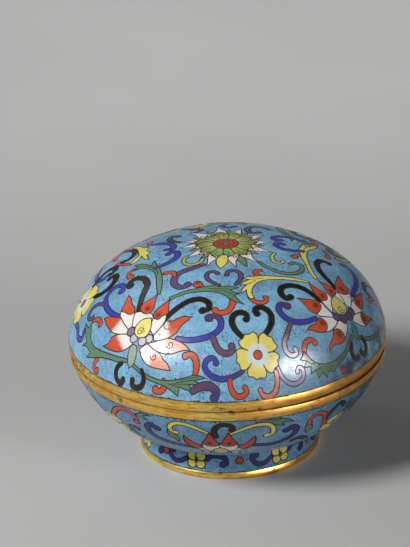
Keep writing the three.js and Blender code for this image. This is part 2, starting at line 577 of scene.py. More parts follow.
# ---------------------------------------------------------------- the lid's pattern
def left_lotus():
    """Lotus over the lid's left front: white petals with red tips round a yellow pod."""
    return joined(
        scroll(BLACK, [(-33.4, -32.6), (-31.2, -26), (-29.2, -20), (-31, -15.6), (-34.5, -14.4),
            (-36.6, -16.2), (-36.2, -17.8)], 1.2, 1.45, 0.9),
        scroll(COBALT, [(-41.5, -31), (-45, -26.5), (-47, -21), (-46.3, -16), (-43.5, -13.7),
            (-40.2, -14), (-38.7, -16.3), (-39.3, -18.3)], 1.1, 1.5, 0.9),
        scroll(PURPLE, [(-48, -19.5), (-50.5, -17), (-53.5, -16.3), (-56, -18), (-56, -20.5),
            (-54.4, -21.6)], 0.8, 1.1, 0.6),
        scroll(BLACK, [(-22.6, -40.2), (-18, -37), (-13, -34.7), (-9, -34.8), (-6.4, -37),
            (-6.6, -39.8), (-8.7, -40.4)], 1.1, 1.4, 1.0),
        scroll((84, 62, 104), [(-19, -49.8), (-15, -51.3), (-10, -51.6), (-5.5, -50.6), (-2.4, -48),
            (-2.2, -44.8), (-4.2, -42.9), (-6.6, -43.2)], 1.1, 1.6, 0.9, round_fade(-5.6, -43.4, 2.0,
            5.0, COBALT)),
        scroll((106, 76, 102), [(-5.2, -51.6), (-4.4, -54.6), (-2.4, -57.2), (0.2, -57.9), (2.2, -56.8),
            (1.9, -55.2)], 1.15, 1.3, 1.0),
        scroll(BLACK, [(-44.6, -49.9), (-47.2, -50), (-49.4, -52), (-49.5, -54.6), (-48, -56.4),
            (-46.4, -55.8)], 1.0, 1.15, 0.8),
        scroll(BLACK, [(-36.2, -56.6), (-36.3, -60), (-38.5, -61.9), (-41.5, -61.3), (-43, -59.4),
            (-42.1, -58)], 1.05, 1.2, 0.8),
        lotus_petal([(-35, -48.6), (-34.9, -52), (-33.6, -55), (-31.4, -57.1), (-27.6, -59.2),
            (-23.7, -60.8), (-24.3, -58.3), (-26, -55.8), (-26.8, -53.6), (-28.6, -51.6), (-31.4, -48)],
            5, ((-31.6, -53.4), (-30, -54.5)), PINK),
        lotus_petal([(-31.4, -48), (-28.5, -48.4), (-22.5, -48.8), (-19.5, -50.4), (-16.6, -52.6),
            (-14.6, -55.2), (-18, -54.8), (-22, -55), (-25.6, -53.8), (-28.6, -51.6)], 5,
            ((-25.8, -51.2), (-23.9, -51.7)), PINK),
        lotus_petal([(-28.4, -45.7), (-25.6, -43.9), (-23.4, -41.6), (-20, -42.3), (-17.4, -41.4),
            (-12.8, -42.2), (-14.8, -43.6), (-17.3, -45.4), (-19.4, -47.6), (-22.5, -48.6),
            (-28.5, -48)], 5, ((-23, -43.8), (-21.4, -43.8))),
        lotus_petal([(-28.4, -45.7), (-29.6, -41), (-28.4, -38.4), (-24.5, -37.6), (-22.4, -39),
            (-23.2, -41.4), (-25.6, -43.9)], 4),
        lotus_petal([(-36.8, -38.4), (-35.8, -35), (-34.7, -33), (-32.7, -33.4), (-30, -34.6),
            (-27.8, -37), (-28, -39.2), (-32, -41.5)], 5),
        lotus_petal([(-38.5, -38.6), (-40.2, -34.6), (-41.1, -31.6), (-40.9, -29.5), (-38.9, -26.4),
            (-36.8, -22.6), (-35.9, -25), (-35.7, -28), (-34.7, -31.4), (-35.6, -34.8), (-36.8, -38.4)],
            5),
        lotus_petal([(-38.3, -41.2), (-42, -39), (-45.5, -36), (-47.4, -32), (-48.5, -26.8),
            (-46, -27.9), (-43.2, -30.2), (-41.1, -31.6), (-40.2, -34.6), (-38.5, -38.6)], 4,
            ((-43.4, -35), (-44.1, -33.5))),
        lotus_petal([(-37.6, -45.4), (-41, -45.9), (-44.6, -45.1), (-48, -42.3), (-51.6, -38),
            (-48.6, -38.9), (-46.2, -37.6), (-43.9, -38.1), (-38.3, -41.2)], 4, ((-42.3, -41.5),
            (-43.8, -41.8))),
        flame([(-40.4, -28.9), (-38.8, -26.3), (-36.8, -22.6), (-35.9, -25), (-35.7, -28),
            (-34.7, -31.4), (-35.6, -32.8), (-37.4, -32.3), (-38.7, -30.6)], 2),
        flame([(-27.3, -28.9), (-29.5, -29.6), (-31.6, -30.4), (-32.5, -32), (-31.8, -34.2),
            (-30, -35.7), (-28.1, -35.3), (-27, -33.5), (-26.4, -31), (-25.2, -27.6)], 9, (-29.7, -33.2,
            1.0, 250)),
        flame([(-22.6, -33.3), (-25, -34.6), (-27.2, -36.6), (-27.4, -38.7), (-25.8, -39.8),
            (-24, -38.9), (-21.8, -38.5), (-21.5, -36), (-20.8, -32)], 8, (-25.6, -37.9, 0.9, 200)),
        wire([(-22.7, -41.7), (-23.8, -43.2), (-23.4, -44.7), (-21.9, -45.2)]),
        curl(-22.2, -51.4, 1.6, 180),
        curl(-29.6, -53.8, 1.5, 150),
        patch((150, 168, 152), [(-36, -47), (-37, -50.2), (-39.2, -52.8), (-41.8, -53.3), (-41.6, -51),
            (-40.4, -48), (-37.8, -45.6)], (0, 3)),
        disc((126, 116, 136), -37.5, -40.2, 1.75),
        disc(LILAC, -30.3, -46.4, 1.6),
        disc(LILAC, -33.4, -46.2, 1.8),
        disc(LILAC, -36.7, -43.5, 1.7),
        patch((236, 222, 130), [(-28.5, -38.2), (-29, -42.2), (-31.2, -44.8), (-34.3, -44.4),
            (-36, -41.6), (-34.9, -38.9), (-32.2, -37.5)], (0,)),
        curl(-33.5, -42, 1.7, 330, 1.4),
    )


def left_vines():
    """Green leaf scrolls that carry the left lotus, with their red curls."""
    return joined(
        scroll(RED, [(-9.4, -30.2), (-8.6, -28), (-9.8, -26.2)], 0.75, 1.7, 0.7),
        curl(-10.2, -25.9, 0.9, 200, 1.1),
        scroll(RED, [(2.4, -34.5), (2.2, -38.6), (0, -41.4), (-3, -41.6), (-4.2, -40.6)], 1.15, 1.25,
            1.0),
        patch(GREEN, [(-21, -31.3), (-16, -29.6), (-11, -28.9), (-6, -28.3), (-2, -27.9), (-2.6, -29.2),
            (1, -29), (5, -29.9), (1.8, -30.9), (2.2, -31.6), (5.5, -32.7), (3, -33.7), (4.4, -35.6),
            (6.9, -38.2), (3.4, -36.7), (1, -35), (-0.6, -33.4), (-4, -31.8), (-10, -30.9),
            (-16, -31.3), (-20.6, -32.6)], (0, 4, 5, 7, 8, 10, 11, 13, 20)),
        vein((1.2, -30.6), (-2, -30.2), (-6, -29.9)),
        vein((2.6, -33.2), (0, -31.8), (-4, -30.8)),
        scroll(RED, [(-33.2, -7.8), (-35.2, -7.5), (-36.7, -9.4), (-36.2, -11.6)], 0.95, 1.35, 0.7),
        patch(GREEN, [(-25.5, -28), (-25.7, -22), (-25.8, -17), (-27, -13), (-29.2, -10.2),
            (-31.6, -8.8), (-35, -7.6), (-32.6, -7), (-34.4, -4.2), (-31, -5.4), (-28.8, -7.4),
            (-27.4, -9.4), (-27.2, -7.6), (-26.3, -5.4), (-25.5, -9), (-24.3, -12.6), (-23.5, -17),
            (-23.4, -22), (-24.3, -28)], (0, 6, 7, 8, 11, 13, 18)),
        vein((-32.4, -6.8), (-30, -7.8), (-27.6, -10.4)),
        vein((-27.2, -9.6), (-26, -12), (-25, -16)),
        scroll(RED, [(-14.8, -66), (-12.8, -62.5), (-12.7, -59), (-14.6, -56.7), (-16.6, -56.8)], 1.25,
            1.35, 0.8),
        scroll(RED, [(-27.4, -63.4), (-28, -65.8), (-30.4, -66.8), (-32.4, -65.8)], 1.3, 1.6, 0.9),
        patch(GREEN, [(-39, -52.6), (-36.2, -56.8), (-32.6, -60.4), (-28.5, -63), (-24, -64.3),
            (-18.5, -64.7), (-13, -64.6), (-9.4, -66.2), (-14.4, -66.3), (-11, -68.4), (-16.8, -67.4),
            (-15.4, -70.2), (-19.2, -68.6), (-21, -67.4), (-22.6, -70.6), (-25, -68), (-27.2, -65.8),
            (-31, -63.4), (-35, -60.2), (-38, -56.4), (-40.2, -53.2)], (0, 7, 8, 9, 10, 11, 13, 14,
            20)),
        vein((-14.6, -66.2), (-18, -66), (-22, -65.6)),
        vein((-17, -67.2), (-20, -66.6), (-24, -65.6)),
        vein((-21, -67.6), (-23.4, -66.4), (-26, -65)),
        vein((-12, -65.4), (-16, -65.3), (-20, -65.2)),
        scroll(RED, [(-54, -23.4), (-52.2, -24.2), (-50.6, -26.4), (-50.4, -28)], 1.0, 1.3, 0.7),
        scroll(RED, [(-56.4, -40.6), (-59, -40.4), (-60.6, -42), (-59.4, -44)], 1.0, 1.3, 0.8),
        patch(GREEN, [(-41.5, -51.2), (-46.4, -48.2), (-51, -44.2), (-55, -40.8), (-58.8, -38),
            (-62.8, -34.2), (-59.6, -34.6), (-60.4, -31.6), (-63, -27.6), (-60, -29.4), (-59.6, -25.6),
            (-58.4, -20.4), (-57, -24.4), (-54.2, -22.8), (-56.2, -27), (-57.2, -31), (-56.2, -34.6),
            (-54, -38), (-50.6, -41.8), (-46.6, -45.6), (-41.6, -49.6)], (0, 5, 6, 8, 9, 11, 12, 13,
            20)),
    )


def right_lotus():
    """Lotus over the lid's right front, with dark purple beads."""
    # Painted highlight: the purple hook's glaze turns pale lilac towards its lower end.
    fade = along_fade((23.2, -47.0), (24.4, -55.0), (206, 192, 212))
    return joined(
        scroll(BLACK, [(36, -29.8), (33, -27.6), (28, -25.5), (23.5, -25.8), (20.6, -28), (20.7, -31.3),
            (22.8, -32.9), (24.3, -31.8)], 1.15, 1.3, 0.9),
        scroll(BLACK, [(42, -18.5), (38.5, -15), (35.5, -11), (34.7, -6.5), (36.5, -3), (39.5, -2.5)],
            1.1, 1.3, 0.9),
        scroll(COBALT, [(49.6, -17), (50.8, -12), (51.8, -6), (51, 0), (48.5, 3), (45.5, 2.5)], 1.0,
            1.2, 0.9),
        scroll((76, 62, 108), [(34.4, -38), (30, -41.3), (25, -42.6), (21.5, -41.3), (19.6, -38.5),
            (20.4, -36.2), (22.8, -36)], 1.15, 1.5, 0.8, round_fade(22.4, -36.4, 1.5, 4.0, COBALT)),
        scroll((112, 82, 104), [(24.4, -43.5), (23.3, -48), (22.3, -52), (23.6, -55.2), (26, -55.9),
            (27.8, -54.5), (27.2, -53.2)], 0.95, 1.1, 0.8, fade),
        scroll(BLACK, [(52, -40), (53, -42.8), (55.5, -44.1), (57.8, -42.4)], 1.2, 1.3, 0.9),
        scroll(BLACK, [(57, -33.4), (60.5, -35), (61, -38.2), (58.6, -39.4)], 1.2, 1.3, 0.9),
        lotus_petal([(41, -29), (40.6, -25.5), (38.4, -23.9), (36.4, -26.4), (36.4, -28.9),
            (38.6, -30.8), (41.3, -32.5)], 3),
        lotus_petal([(41, -25), (40.6, -22.6), (42.3, -20.5), (44.2, -21), (46.8, -24.4)], 2),
        lotus_petal([(46.6, -24.4), (44.2, -21), (43, -19.8), (46.8, -18.4), (48.6, -16.6), (49.3, -20),
            (49.3, -25)], 4),
        lotus_petal([(49.3, -25), (49.4, -22), (50.2, -19.4), (54.6, -20.2), (54.9, -21.9),
            (51, -26.8)], 4),
        lotus_petal([(51, -26.8), (52.8, -24.4), (55.2, -22.2), (58.6, -25.8), (57, -27.8), (54, -29.3),
            (50.6, -30.2)], 3),
        lotus_petal([(48.5, -33.6), (48.7, -37), (48.3, -40), (45.3, -42), (42.2, -40.6), (42.7, -38.4),
            (43.6, -36.3), (44.1, -34)], 3),
        lotus_petal([(44.1, -34), (42.7, -38.2), (40.7, -40.9), (38.4, -42.5), (36, -40.4), (36, -37),
            (38.4, -35.7), (41.5, -34.3)], 3),
        lotus_petal([(41.5, -34.3), (38.4, -35.6), (36, -36.4), (33.6, -35.9), (33.8, -32), (36, -29.9),
            (38.4, -31.4), (41.4, -32.9)], 3),
        flame([(33.5, -22.6), (35.6, -23.5), (37.7, -24), (38.7, -25.6), (38.1, -27.7), (36.7, -28.4),
            (35, -27.5), (33.1, -26), (32, -23.9), (31.2, -21.6)], 9, (36.8, -26.3, 0.9, 60)),
        flame([(38, -18.7), (40.5, -18.9), (42, -20.1), (42.2, -22), (41, -23.5), (39.5, -23.4),
            (38.2, -22.4), (36.7, -20.4), (35, -18.2)], 8, (40.4, -21.6, 0.9, 90)),
        flame([(42.5, -13), (42, -17), (42.7, -19.4), (44.4, -19.9), (46.5, -19), (47.6, -16.6),
            (47.8, -14.3), (46, -13.4), (44.6, -11.6), (43.6, -9)], 9, (44.8, -17.2, 1.1, 0)),
        flame([(52.2, -14), (51, -17), (50.5, -19.6), (52, -20.9), (54, -20.9), (55.3, -18.4),
            (55, -15), (54.6, -12.6), (54.2, -10.8)], 8, (52.6, -18.6, 1.0, 0)),
        flame([(59, -20.8), (57.4, -21.4), (55.4, -21.9), (54.5, -23.4), (54.9, -25.2), (56.4, -26.4),
            (58.2, -25.8), (59.2, -23.8), (60, -21.8), (61.6, -18.8)], 9, (56.6, -24, 1.0, 180)),
        flame([(46.9, -38.3), (45, -37.9), (43.2, -38.9), (42.4, -40.8), (42.5, -43.2), (41.7, -45.8),
            (42.1, -49), (43, -47), (44.2, -44.9), (46.4, -43.4), (47.9, -41.6), (48.2, -39.6)], 6,
            (45.2, -39.8, 1.0, 300)),
        flame([(38.7, -37.8), (36.8, -37.2), (35.1, -38.3), (34.5, -40.2), (32.6, -42), (31, -44.6),
            (33, -43.9), (35.2, -43.7), (37.3, -43.1), (39, -41.8), (39.5, -39.6)], 5, (37.2, -38.9,
            0.9, 300)),
        flame([(36.1, -31), (35, -30), (33, -30), (30, -30.8), (26.4, -31.4), (28.8, -32.8),
            (30.6, -34.6), (32.6, -36), (34.4, -36), (35.9, -33.6)], 4, (34, -32.2, 1.0, 0)),
        patch((86, 146, 140), [(50.3, -31.2), (52.6, -31.7), (54.4, -33.6), (54.7, -36.2),
            (52.8, -36.3), (51, -34.4)], (0, 3)),
        disc(BEAD_PURPLE, 43, -33.2, 1.7),
        disc(BEAD_PURPLE, 49.6, -26, 1.7),
        disc(BEAD_PURPLE, 46.3, -32, 2.0),
        disc(BEAD_PURPLE, 48.8, -29.1, 1.9),
        patch((214, 204, 112), [(41.4, -23.4), (40.4, -26.6), (41.2, -29.8), (43.8, -31), (46.6, -29.6),
            (47.3, -26.4), (45, -24.2)], (0,)),
        curl(44.7, -28.4, 1.8, 30, 1.4, -1),
    )


def right_vines():
    """Yellow leaf scroll left of the right lotus, and the green vine that runs below it."""
    return joined(
        scroll(RED, [(13.4, -23.3), (11.4, -21.8), (11.2, -19.8), (12.7, -19.2)], 1.0, 0.9, 1.0),
        scroll(RED, [(8.8, -34.4), (10.4, -36.2), (13, -36.7), (15, -35.3), (14.8, -34)], 0.95, 0.95,
            0.8),
        patch(YELLOW, [(31.5, -20.6), (25, -20.9), (18, -21.8), (13, -22.4), (9.6, -23.3), (5.8, -24.4),
            (8.8, -25.2), (6.8, -26.4), (5.3, -28.5), (7.9, -27.9), (6.4, -30), (5, -33), (7.6, -31),
            (7.8, -33.2), (9, -35.4), (10.6, -34.6), (9.7, -32.4), (9.9, -30), (11.2, -27.2),
            (13.6, -25.2), (18, -23.8), (25, -22.5), (31.5, -21.6)], (0, 5, 6, 8, 9, 11, 12, 14, 15,
            22)),
        vein((8.8, -25.1), (11, -24.6), (14, -23.6)),
        vein((7.9, -27.8), (9.4, -26.8), (11, -25.4)),
        scroll(RED, [(31.4, -54.8), (30.7, -51.6), (31.6, -48.8), (33.6, -47.6), (35, -48)], 1.05, 1.2,
            0.8),
        patch((198, 92, 62), [(50.4, -36.4), (50, -41), (48.6, -46), (45.6, -50.6), (41.6, -53.8),
            (37.4, -55.3), (34, -54.8), (31, -53), (29.6, -56.6), (32.4, -56.2), (31.8, -58.8),
            (34.8, -57.6), (35.6, -60), (37.6, -58), (39.8, -60.2), (40.8, -57.6), (44, -58.4),
            (43.8, -55.8), (47, -54.6), (47.2, -52.4), (49.6, -48.6), (51.4, -43.2), (52, -37)],
            (0, *range(7, 19), 22), round_fade(30.8, -53.4, 0.8, 4.2, GREEN)),
        tooth_vein((32.4, -56.2), (36.4, -56)),
        tooth_vein((37.6, -57.8), (40, -55.6)),
        tooth_vein((43.8, -55.8), (45.4, -52.6)),
        stem(GREEN, [(54.6, -35.2), (60, -31.5), (64.5, -26), (67, -19)], 0.7),
        scroll((186, 62, 52), [(54, -50.4), (52.8, -51.4), (51.4, -52.2)], 0.9, 1.6, 0.6),
    )


def right_leaf():
    """Yellow leaf that climbs from the right lotus towards the crown."""
    return joined(
        scroll(RED, [(28.4, -3.2), (27, -4.4), (25.6, -5.8)], 0.9, 1.4, 0.6),
        patch(YELLOW, [(33.4, -18), (31, -13.5), (29.8, -9), (28.6, -5.4), (28.2, -2.4), (27.8, 1.6),
            (28.6, 4.4), (29.8, 8.6), (30.9, 5.8), (33, 8.4), (36, 13.2), (34.6, 7.2), (32, 3.2),
            (30.9, -1), (31.2, -6.5), (32.4, -12), (34.8, -17.4)], (0, 3, 5, 7, 8, 10, 16)),
        vein((30.9, 5.6), (30, 2.6), (29.4, -1.4)),
    )


def front_flower():
    """Yellow flower low on the lid's front, with the scrolls that spring from it."""
    return joined(
        scroll(BLACK, [(6, -51.8), (3, -48.5), (2, -45), (3.2, -42.5), (5.5, -41.7), (7.7, -42.8),
            (7.6, -44.6)], 1.1, 1.25, 0.9),
        scroll(BLACK, [(13, -51.8), (15.2, -49), (16.9, -45), (16.6, -41.5), (14.5, -39.3), (12, -39),
            (10.5, -40.8), (11.3, -42)], 1.1, 1.25, 0.9),
        scroll((66, 64, 100), [(6, -64.3), (2, -66.3), (-3, -67), (-7.5, -65), (-9.3, -62),
            (-8.2, -59.8), (-5.5, -59.4), (-4.4, -61)], 1.0, 1.2, 0.8, round_fade(6.0, -64.3, 2.5, 6.0,
            COBALT)),
        scroll((150, 128, 178), [(20, -61), (22, -63.8), (26, -66), (30, -65.3), (32.3, -62),
            (31.3, -59.7), (29.3, -59.5), (29, -61)], 0.9, 1.0, 0.8),
        scroll(RED, [(0.7, -67.5), (1.3, -71), (3.5, -73.3), (6.3, -73.2), (8, -71.2), (7, -70)], 1.1,
            1.0, 0.9),
        # This hook's pale pink is partly its own glaze and partly a painted highlight from the glow on
        # the lid's front.
        scroll((224, 130, 108), [(19.8, -63), (21, -67), (20.5, -70.5), (18, -72.5), (15.3, -72.3),
            (13.8, -70.6)], 1.1, 1.0, 0.9),
        scroll((66, 62, 122), [(-15.5, -70), (-11, -68.9), (-7, -69.7), (-5, -72), (-6.3, -74)], 1.6,
            1.7, 1.3, round_fade(-6.3, -74.0, 2.0, 6.0, (100, 72, 104))),
        blossom(12, -58, 8.9, 90),
    )


def left_flower():
    """The same flower at the lid's left, and its two dark scrolls."""
    return joined(
        scroll(BLACK, [(-52.5, -9.5), (-49, -11.7), (-44.5, -11), (-42, -7.5), (-43, -4.3),
            (-45, -4.5)], 1.3, 1.2, 1.0),
        scroll(BLACK, [(-53, -1), (-50, 2.5), (-46, 4), (-43, 3), (-42.5, 0), (-44.5, -1.3)], 1.3, 1.2,
            1.0),
        scroll(COBALT, [(-65, -12), (-64, -17), (-65, -21), (-62.5, -24.5), (-60, -23)], 1.1, 1.2, 0.9),
        blossom(-59, -5.5, 8.9, 185),
    )


def inner_scrolls():
    """Hooks between the medallion and the front lotuses."""
    return joined(
        scroll(PURPLE, [(-8, -15), (-12, -16.6), (-16.6, -18.4), (-19, -22), (-18.2, -25.8),
            (-15.6, -27.2), (-13.8, -26.4)], 1.25, 1.5, 0.9),
        scroll(RED, [(-18.6, -19.6), (-19.6, -17), (-22, -16.6)], 1.0, 1.1, 0.8),
        scroll(GREEN, [(12.5, -13.5), (16, -17), (21, -19), (26, -17.8), (28.6, -14.6), (28.2, -11.4),
            (25.6, -10.9), (24.2, -12)], 0.85, 0.95, 0.7),
        scroll((196, 200, 104), [(18.5, -5.6), (17.4, -9.3), (18.4, -12.3), (20.6, -12.6),
            (21.6, -11.6)], 0.75, 0.9, 0.6),
        scroll((176, 182, 96), [(-8, -9.8), (-9.3, -13), (-12.3, -14.1), (-15, -12), (-14.8, -8.8),
            (-13.6, -7.6)], 0.75, 0, 0.75),
        scroll(COBALT, [(-26, -11.4), (-20.6, -9.6), (-17.6, -6), (-18, -2.4), (-20.2, -1.6),
            (-21.3, -2.8)], 1.15, 1.2, 0.8),
        scroll(COBALT, [(-27, 10.4), (-22, 7.8), (-19.2, 4), (-19.6, 0.8), (-21.9, 1.4)], 1.15, 1.2,
            0.8),
        scroll((74, 66, 84), [(-16.4, 6.2), (-19.6, 8.8), (-20.8, 12.4), (-19, 14.8), (-17.2, 13.6)],
            1.0, 1.1, 0.6),
        scroll(COBALT, [(29.5, 0.8), (25, -1), (21, -0.6), (19.2, 2), (20.4, 4.2), (21.8, 3.8)], 1.05,
            1.2, 0.8),
        scroll(COBALT, [(30.5, 12.6), (25, 12.2), (20.4, 11.4), (18.4, 8.8), (19.4, 6.4), (21.2, 7.4)],
            1.05, 1.2, 0.8),
        scroll((84, 72, 96), [(17, 19.5), (13, 22.6), (9.6, 19.8), (8.8, 15.8), (10.6, 12.6),
            (13.2, 13.6)], 1.15, 1.2, 0.8),
        scroll(COBALT, [(1, 26), (-1, 22.8), (1.2, 19.6), (4, 20.8)], 1.0, 1.2, 0.8),
        scroll(COBALT, [(-16, 24), (-12, 21), (-8.6, 17.6), (-10.4, 15.6)], 1.0, 1.1, 0.8),
    )


def side_scrolls():
    """Leaves and hooks at the lid's two sides, between its front and its back."""
    return joined(
        scroll(BLACK, [(62, 4.5), (58.4, 1.8), (55.8, -1.8), (56.4, -5.8), (58.6, -6.6)], 1.05, 1.15,
            0.7),
        scroll(RED, [(61.4, -5), (59.8, -8), (58.6, -10.6)], 0.9, 1.2, 0.6),
        scroll(RED, [(38.2, 8.6), (39.4, 5.6), (39.8, 2.8)], 0.8, 1.3, 0.6),
        patch((196, 196, 112), [(42.4, 4.4), (43.6, 8.4), (46.4, 11.6), (50.4, 17), (49, 11.4),
            (46.4, 7.8)], (0, 3)),
        scroll(RED, [(-35.2, -1.8), (-37.8, 0.2), (-40.2, 2.6), (-41.8, 5)], 0.85, 1.3, 0.6),
        scroll(RED, [(-30.4, 9.6), (-28.7, 11.6), (-28.3, 14.4)], 0.85, 1.3, 0.6),
        patch(YELLOW, [(-36, 17), (-33.6, 11), (-32.9, 6), (-32.8, 3.2), (-34.2, 1.6), (-36.4, -2),
            (-33.4, -1.4), (-31.5, 2.4), (-30.8, -0.6), (-28.5, -3.4), (-29.4, 1.4), (-28, 3.8),
            (-29.6, 5.8), (-28.7, 9), (-30.6, 10.4), (-31.8, 13), (-34, 17.6)], (0, 5, 7, 9, 10, 11, 12,
            13, 16)),
    )


def heart(colour):
    """Two small hooks that meet in a heart in front of the medallion."""
    return joined(
        scroll(colour, [(-2.2, -28.2), (-5.2, -26), (-6.9, -23), (-6.2, -20.6), (-4, -20),
            (-2.7, -21.2)], 0.8, 0.95, 0.5),
        scroll(colour, [(3.8, -28), (5.6, -24.6), (5.4, -21.4), (3.6, -19.9), (1.4, -20.2),
            (0.4, -22.4)], 0.85, 0.95, 0.7),
    )


def edge_bites(radius, count):
    """Small dark chips where the glaze meets its gilt rim."""
    made = []
    for turn in CHANCE.uniform(0, 2 * math.pi, count):
        reach = radius - CHANCE.uniform(0, 0.7)
        spot = (reach * math.cos(turn), reach * math.sin(turn))
        made.append(cell((52, 40, 34), [], [ring_of(*spot, CHANCE.uniform(0.15, 0.5))]))
    return made


def pointed(x, y, tip_x, tip_y, shape):
    """Points of a leaf between a centre and a tip: (share of the way, distance to the left)."""
    reach, lean = math.hypot(tip_x - x, tip_y - y), math.atan2(tip_y - y, tip_x - x)
    ax, ay = math.cos(lean), math.sin(lean)
    return [(x + reach * f * ax - w * ay, y + reach * f * ay + w * ax) for f, w in shape]


def medallion():
    """Open flower at the crown: pale curled tips, olive petals and a red core."""
    made = []
    x, y = 0.5, 1.3
    tips = [(-6.6, -16.4), (4.2, -17.9), (12.3, -14), (17.8, -5.2), (17.8, 4.2), (15, 11.2),
        (6.4, 18), (-2.8, 20.8), (-13.4, 15.8), (-15.8, 6.2), (-17.2, 0.4), (-14.2, -8.8)]
    sepal = [(0.5, 1.2), (0.72, 1.3), (0.86, 0.6), (0.96, 0), (0.88, -0.6), (0.72, -1.2), (0.5, -1.2)]
    for k in range(2, len(tips)):
        far = [(a + b) / 2 for a, b in zip(tips[k], tips[(k + 1) % len(tips)])]
        far = [c + (f - c) * 0.86 for c, f in zip((x, y), far)]
        made += patch((126, 146, 84), pointed(x, y, *far, sepal), (0, 3, 6))
    leaf = [(0.5, 1.4), (0.68, 2.2), (0.8, 2.0), (1.0, 0), (0.84, -1.8), (0.68, -2.2), (0.5, -1.4)]
    slim = [(share, side * 0.66) for share, side in leaf]
    made += patch((112, 138, 92), pointed(x, y, 8.1, -17.2, slim), (0, 3, 6))
    tip = [(0.5, 2.4), (0.6, 2.5), (0.7, 1.5), (0.82, 0.5), (0.91, 0.25), (1.0, 0), (0.9, -0.7),
        (0.8, -1.3), (0.7, -2.0), (0.6, -2.4), (0.5, -2.4)]
    for tip_x, tip_y in tips:
        made += patch((236, 222, 214), pointed(x, y, tip_x, tip_y, tip), (0, 5, 10))
    made += patch(YELLOW, pointed(x, y, -1.7, -18.4, leaf), (0, 3, 6))
    petal = [(0.3, 0.7), (0.55, 2.0), (0.8, 2.7), (0.96, 2.1), (1.0, 1.2), (1.12, 0), (1.0, -1.2),
        (0.96, -2.1), (0.8, -2.7), (0.55, -2.0), (0.3, -0.7)]
    for k, (tip_x, tip_y) in enumerate(tips):
        lean = math.atan2(tip_y - y, tip_x - x)
        reach = 10.4 + 0.8 * math.sin(5 * lean)
        far_x, far_y = x + reach * math.cos(lean), y + reach * math.sin(lean)
        near, far = ((146, 188, 112), (120, 160, 90)) if k < 2 else ((172, 186, 110), (132, 138, 70))
        fade = round_fade(x, y, 5.6, 10.2, far)
        made += patch(near, pointed(x, y, far_x, far_y, petal), (0, 3, 5, 7, 10), fade)
        for turn, out, size in ((0.1, 12.0, 1.1), (-0.09, 11.2, 0.55)):
            made += curl(x + out * math.cos(lean + turn), y + out * math.sin(lean + turn), size,
                math.degrees(lean) + 120, 1.2)
        made += vein(*((x + r * math.cos(lean - 0.08), y + r * math.sin(lean - 0.08)) for r in (6.6, 9)))
    made += disc((178, 70, 50), x, y, 4.7)
    for k in range(10):
        lean = math.radians(36 * k)
        spot_x, spot_y = x + 3.1 * math.cos(lean), y + 3.1 * math.sin(lean)
        made += [cell((84, 44, 32), [], [ring_of(spot_x, spot_y, 0.5)])]
    return made + disc(GREEN, x, y, 1.2)


def lid_pattern():
    """Every cell of the lid, with the front half's ring of flowers turned to make the back."""
    return joined(
        turned_round(left_flower(), 198),
        turned_round(left_vines() + left_lotus(), 187),
        turned_round(front_flower() + right_vines() + right_lotus(), 178),
        left_vines(), right_vines(), right_leaf(), side_scrolls(),
        left_flower(), front_flower(), left_lotus(), right_lotus(),
        inner_scrolls(), heart(PURPLE), medallion(),
        edge_bites(LID_CHIPS_RADIUS, 320),
    )


# ---------------------------------------------------------------- the bowl's pattern
def on_wall(points, shape, edge_arc, centre):
    """Plan points for (degrees round, millimetres of arc below the shoulder)."""
    plan = []
    for degrees, down in points:
        radius = float(np.interp(edge_arc[-1] - down, edge_arc, shape["plan"]))
        turn = math.radians(degrees + centre)
        plan.append((radius * math.cos(turn), radius * math.sin(turn)))
    return plan


def bowl_scrolls(place):
    """Hooks and leaves at both sides of a bowl's lotus."""
    return joined(
        scroll(NAVY, place([(-10, 18.8), (-17, 18.2), (-24, 16.8), (-28.6, 13), (-28.8, 9), (-26, 6.4),
            (-24.2, 8)]), 1.15, 1.5, 0.8),
        scroll(NAVY, place([(12, 15.6), (18, 17.8), (25, 17.4), (30, 13.8), (30.4, 9.8), (28, 7.4),
            (26, 8.8)]), 1.15, 1.5, 0.8),
        patch(GREEN, place([(-19.8, 7.6), (-17.6, 9.4), (-16, 12.6), (-17, 15.6), (-18.6, 13),
            (-20.4, 10.4)]), (0, 3)),
        patch(GREEN, place([(13, 1.6), (20, 1), (24, 1.6), (28.4, 4.4), (23.6, 4), (24.6, 5.8),
            (19.6, 4)]), (0, 3, 5)),
        scroll(YELLOW, place([(-3, 8.2), (-7.6, 5), (-12, 2.9), (-16, 3), (-18.4, 5.4), (-18.2, 8.2),
            (-16.6, 8.8)]), 0.95, 1.1, 0.6),
        scroll(YELLOW, place([(4, 8), (8.6, 5.2), (13.6, 3.2), (18.4, 3.8), (20.4, 6.6), (20.2, 9.8),
            (18.4, 10.6)]), 0.95, 1.2, 0.6),
        scroll(BLACK, place([(-1.2, 9.6), (-1.6, 5.6), (0, 2.8), (3, 2.2), (5.2, 3.6), (5, 5.2)]),
            1.05, 1.15, 0.9),
    )


def far_scrolls(place):
    """The red and dark hooks that fill the wall between a fuller lotus and its neighbours."""
    return joined(
        scroll((44, 66, 92), place([(-37, 20), (-39.6, 16.6), (-38.6, 12.8), (-35.6, 12.4)]),
            1.0, 1.3, 0.8),
        scroll((48, 44, 66), place([(40, 21.6), (37, 19.4), (34, 17.6), (32, 18.6)]), 1.0, 1.3, 0.8),
        scroll(RED, place([(-48.6, 12), (-44, 6), (-39.6, 2.6), (-35.4, 2.4), (-32.8, 5), (-33, 7.6)]),
            1.0, 1.2, 0.9),
        patch(GREEN, place([(-32.6, 3), (-28, 0.8), (-25, 1.4), (-28.4, 2.6), (-27, 4.6)]), (0, 2, 4)),
        scroll(RED, place([(45.4, 15), (44, 10), (41.4, 5.2), (38, 3.8), (35.6, 6), (35.6, 8.6)]),
            1.05, 1.2, 1.0),
        patch(GREEN, place([(34.4, 9.6), (37.4, 10), (38.6, 13.6), (37, 15.4), (35.4, 13)]), (0, 3)),
        scroll(BLACK, place([(44.4, 9), (46, 5), (49, 2.8), (51.8, 4.8)]), 1.0, 1.2, 0.8),
    )


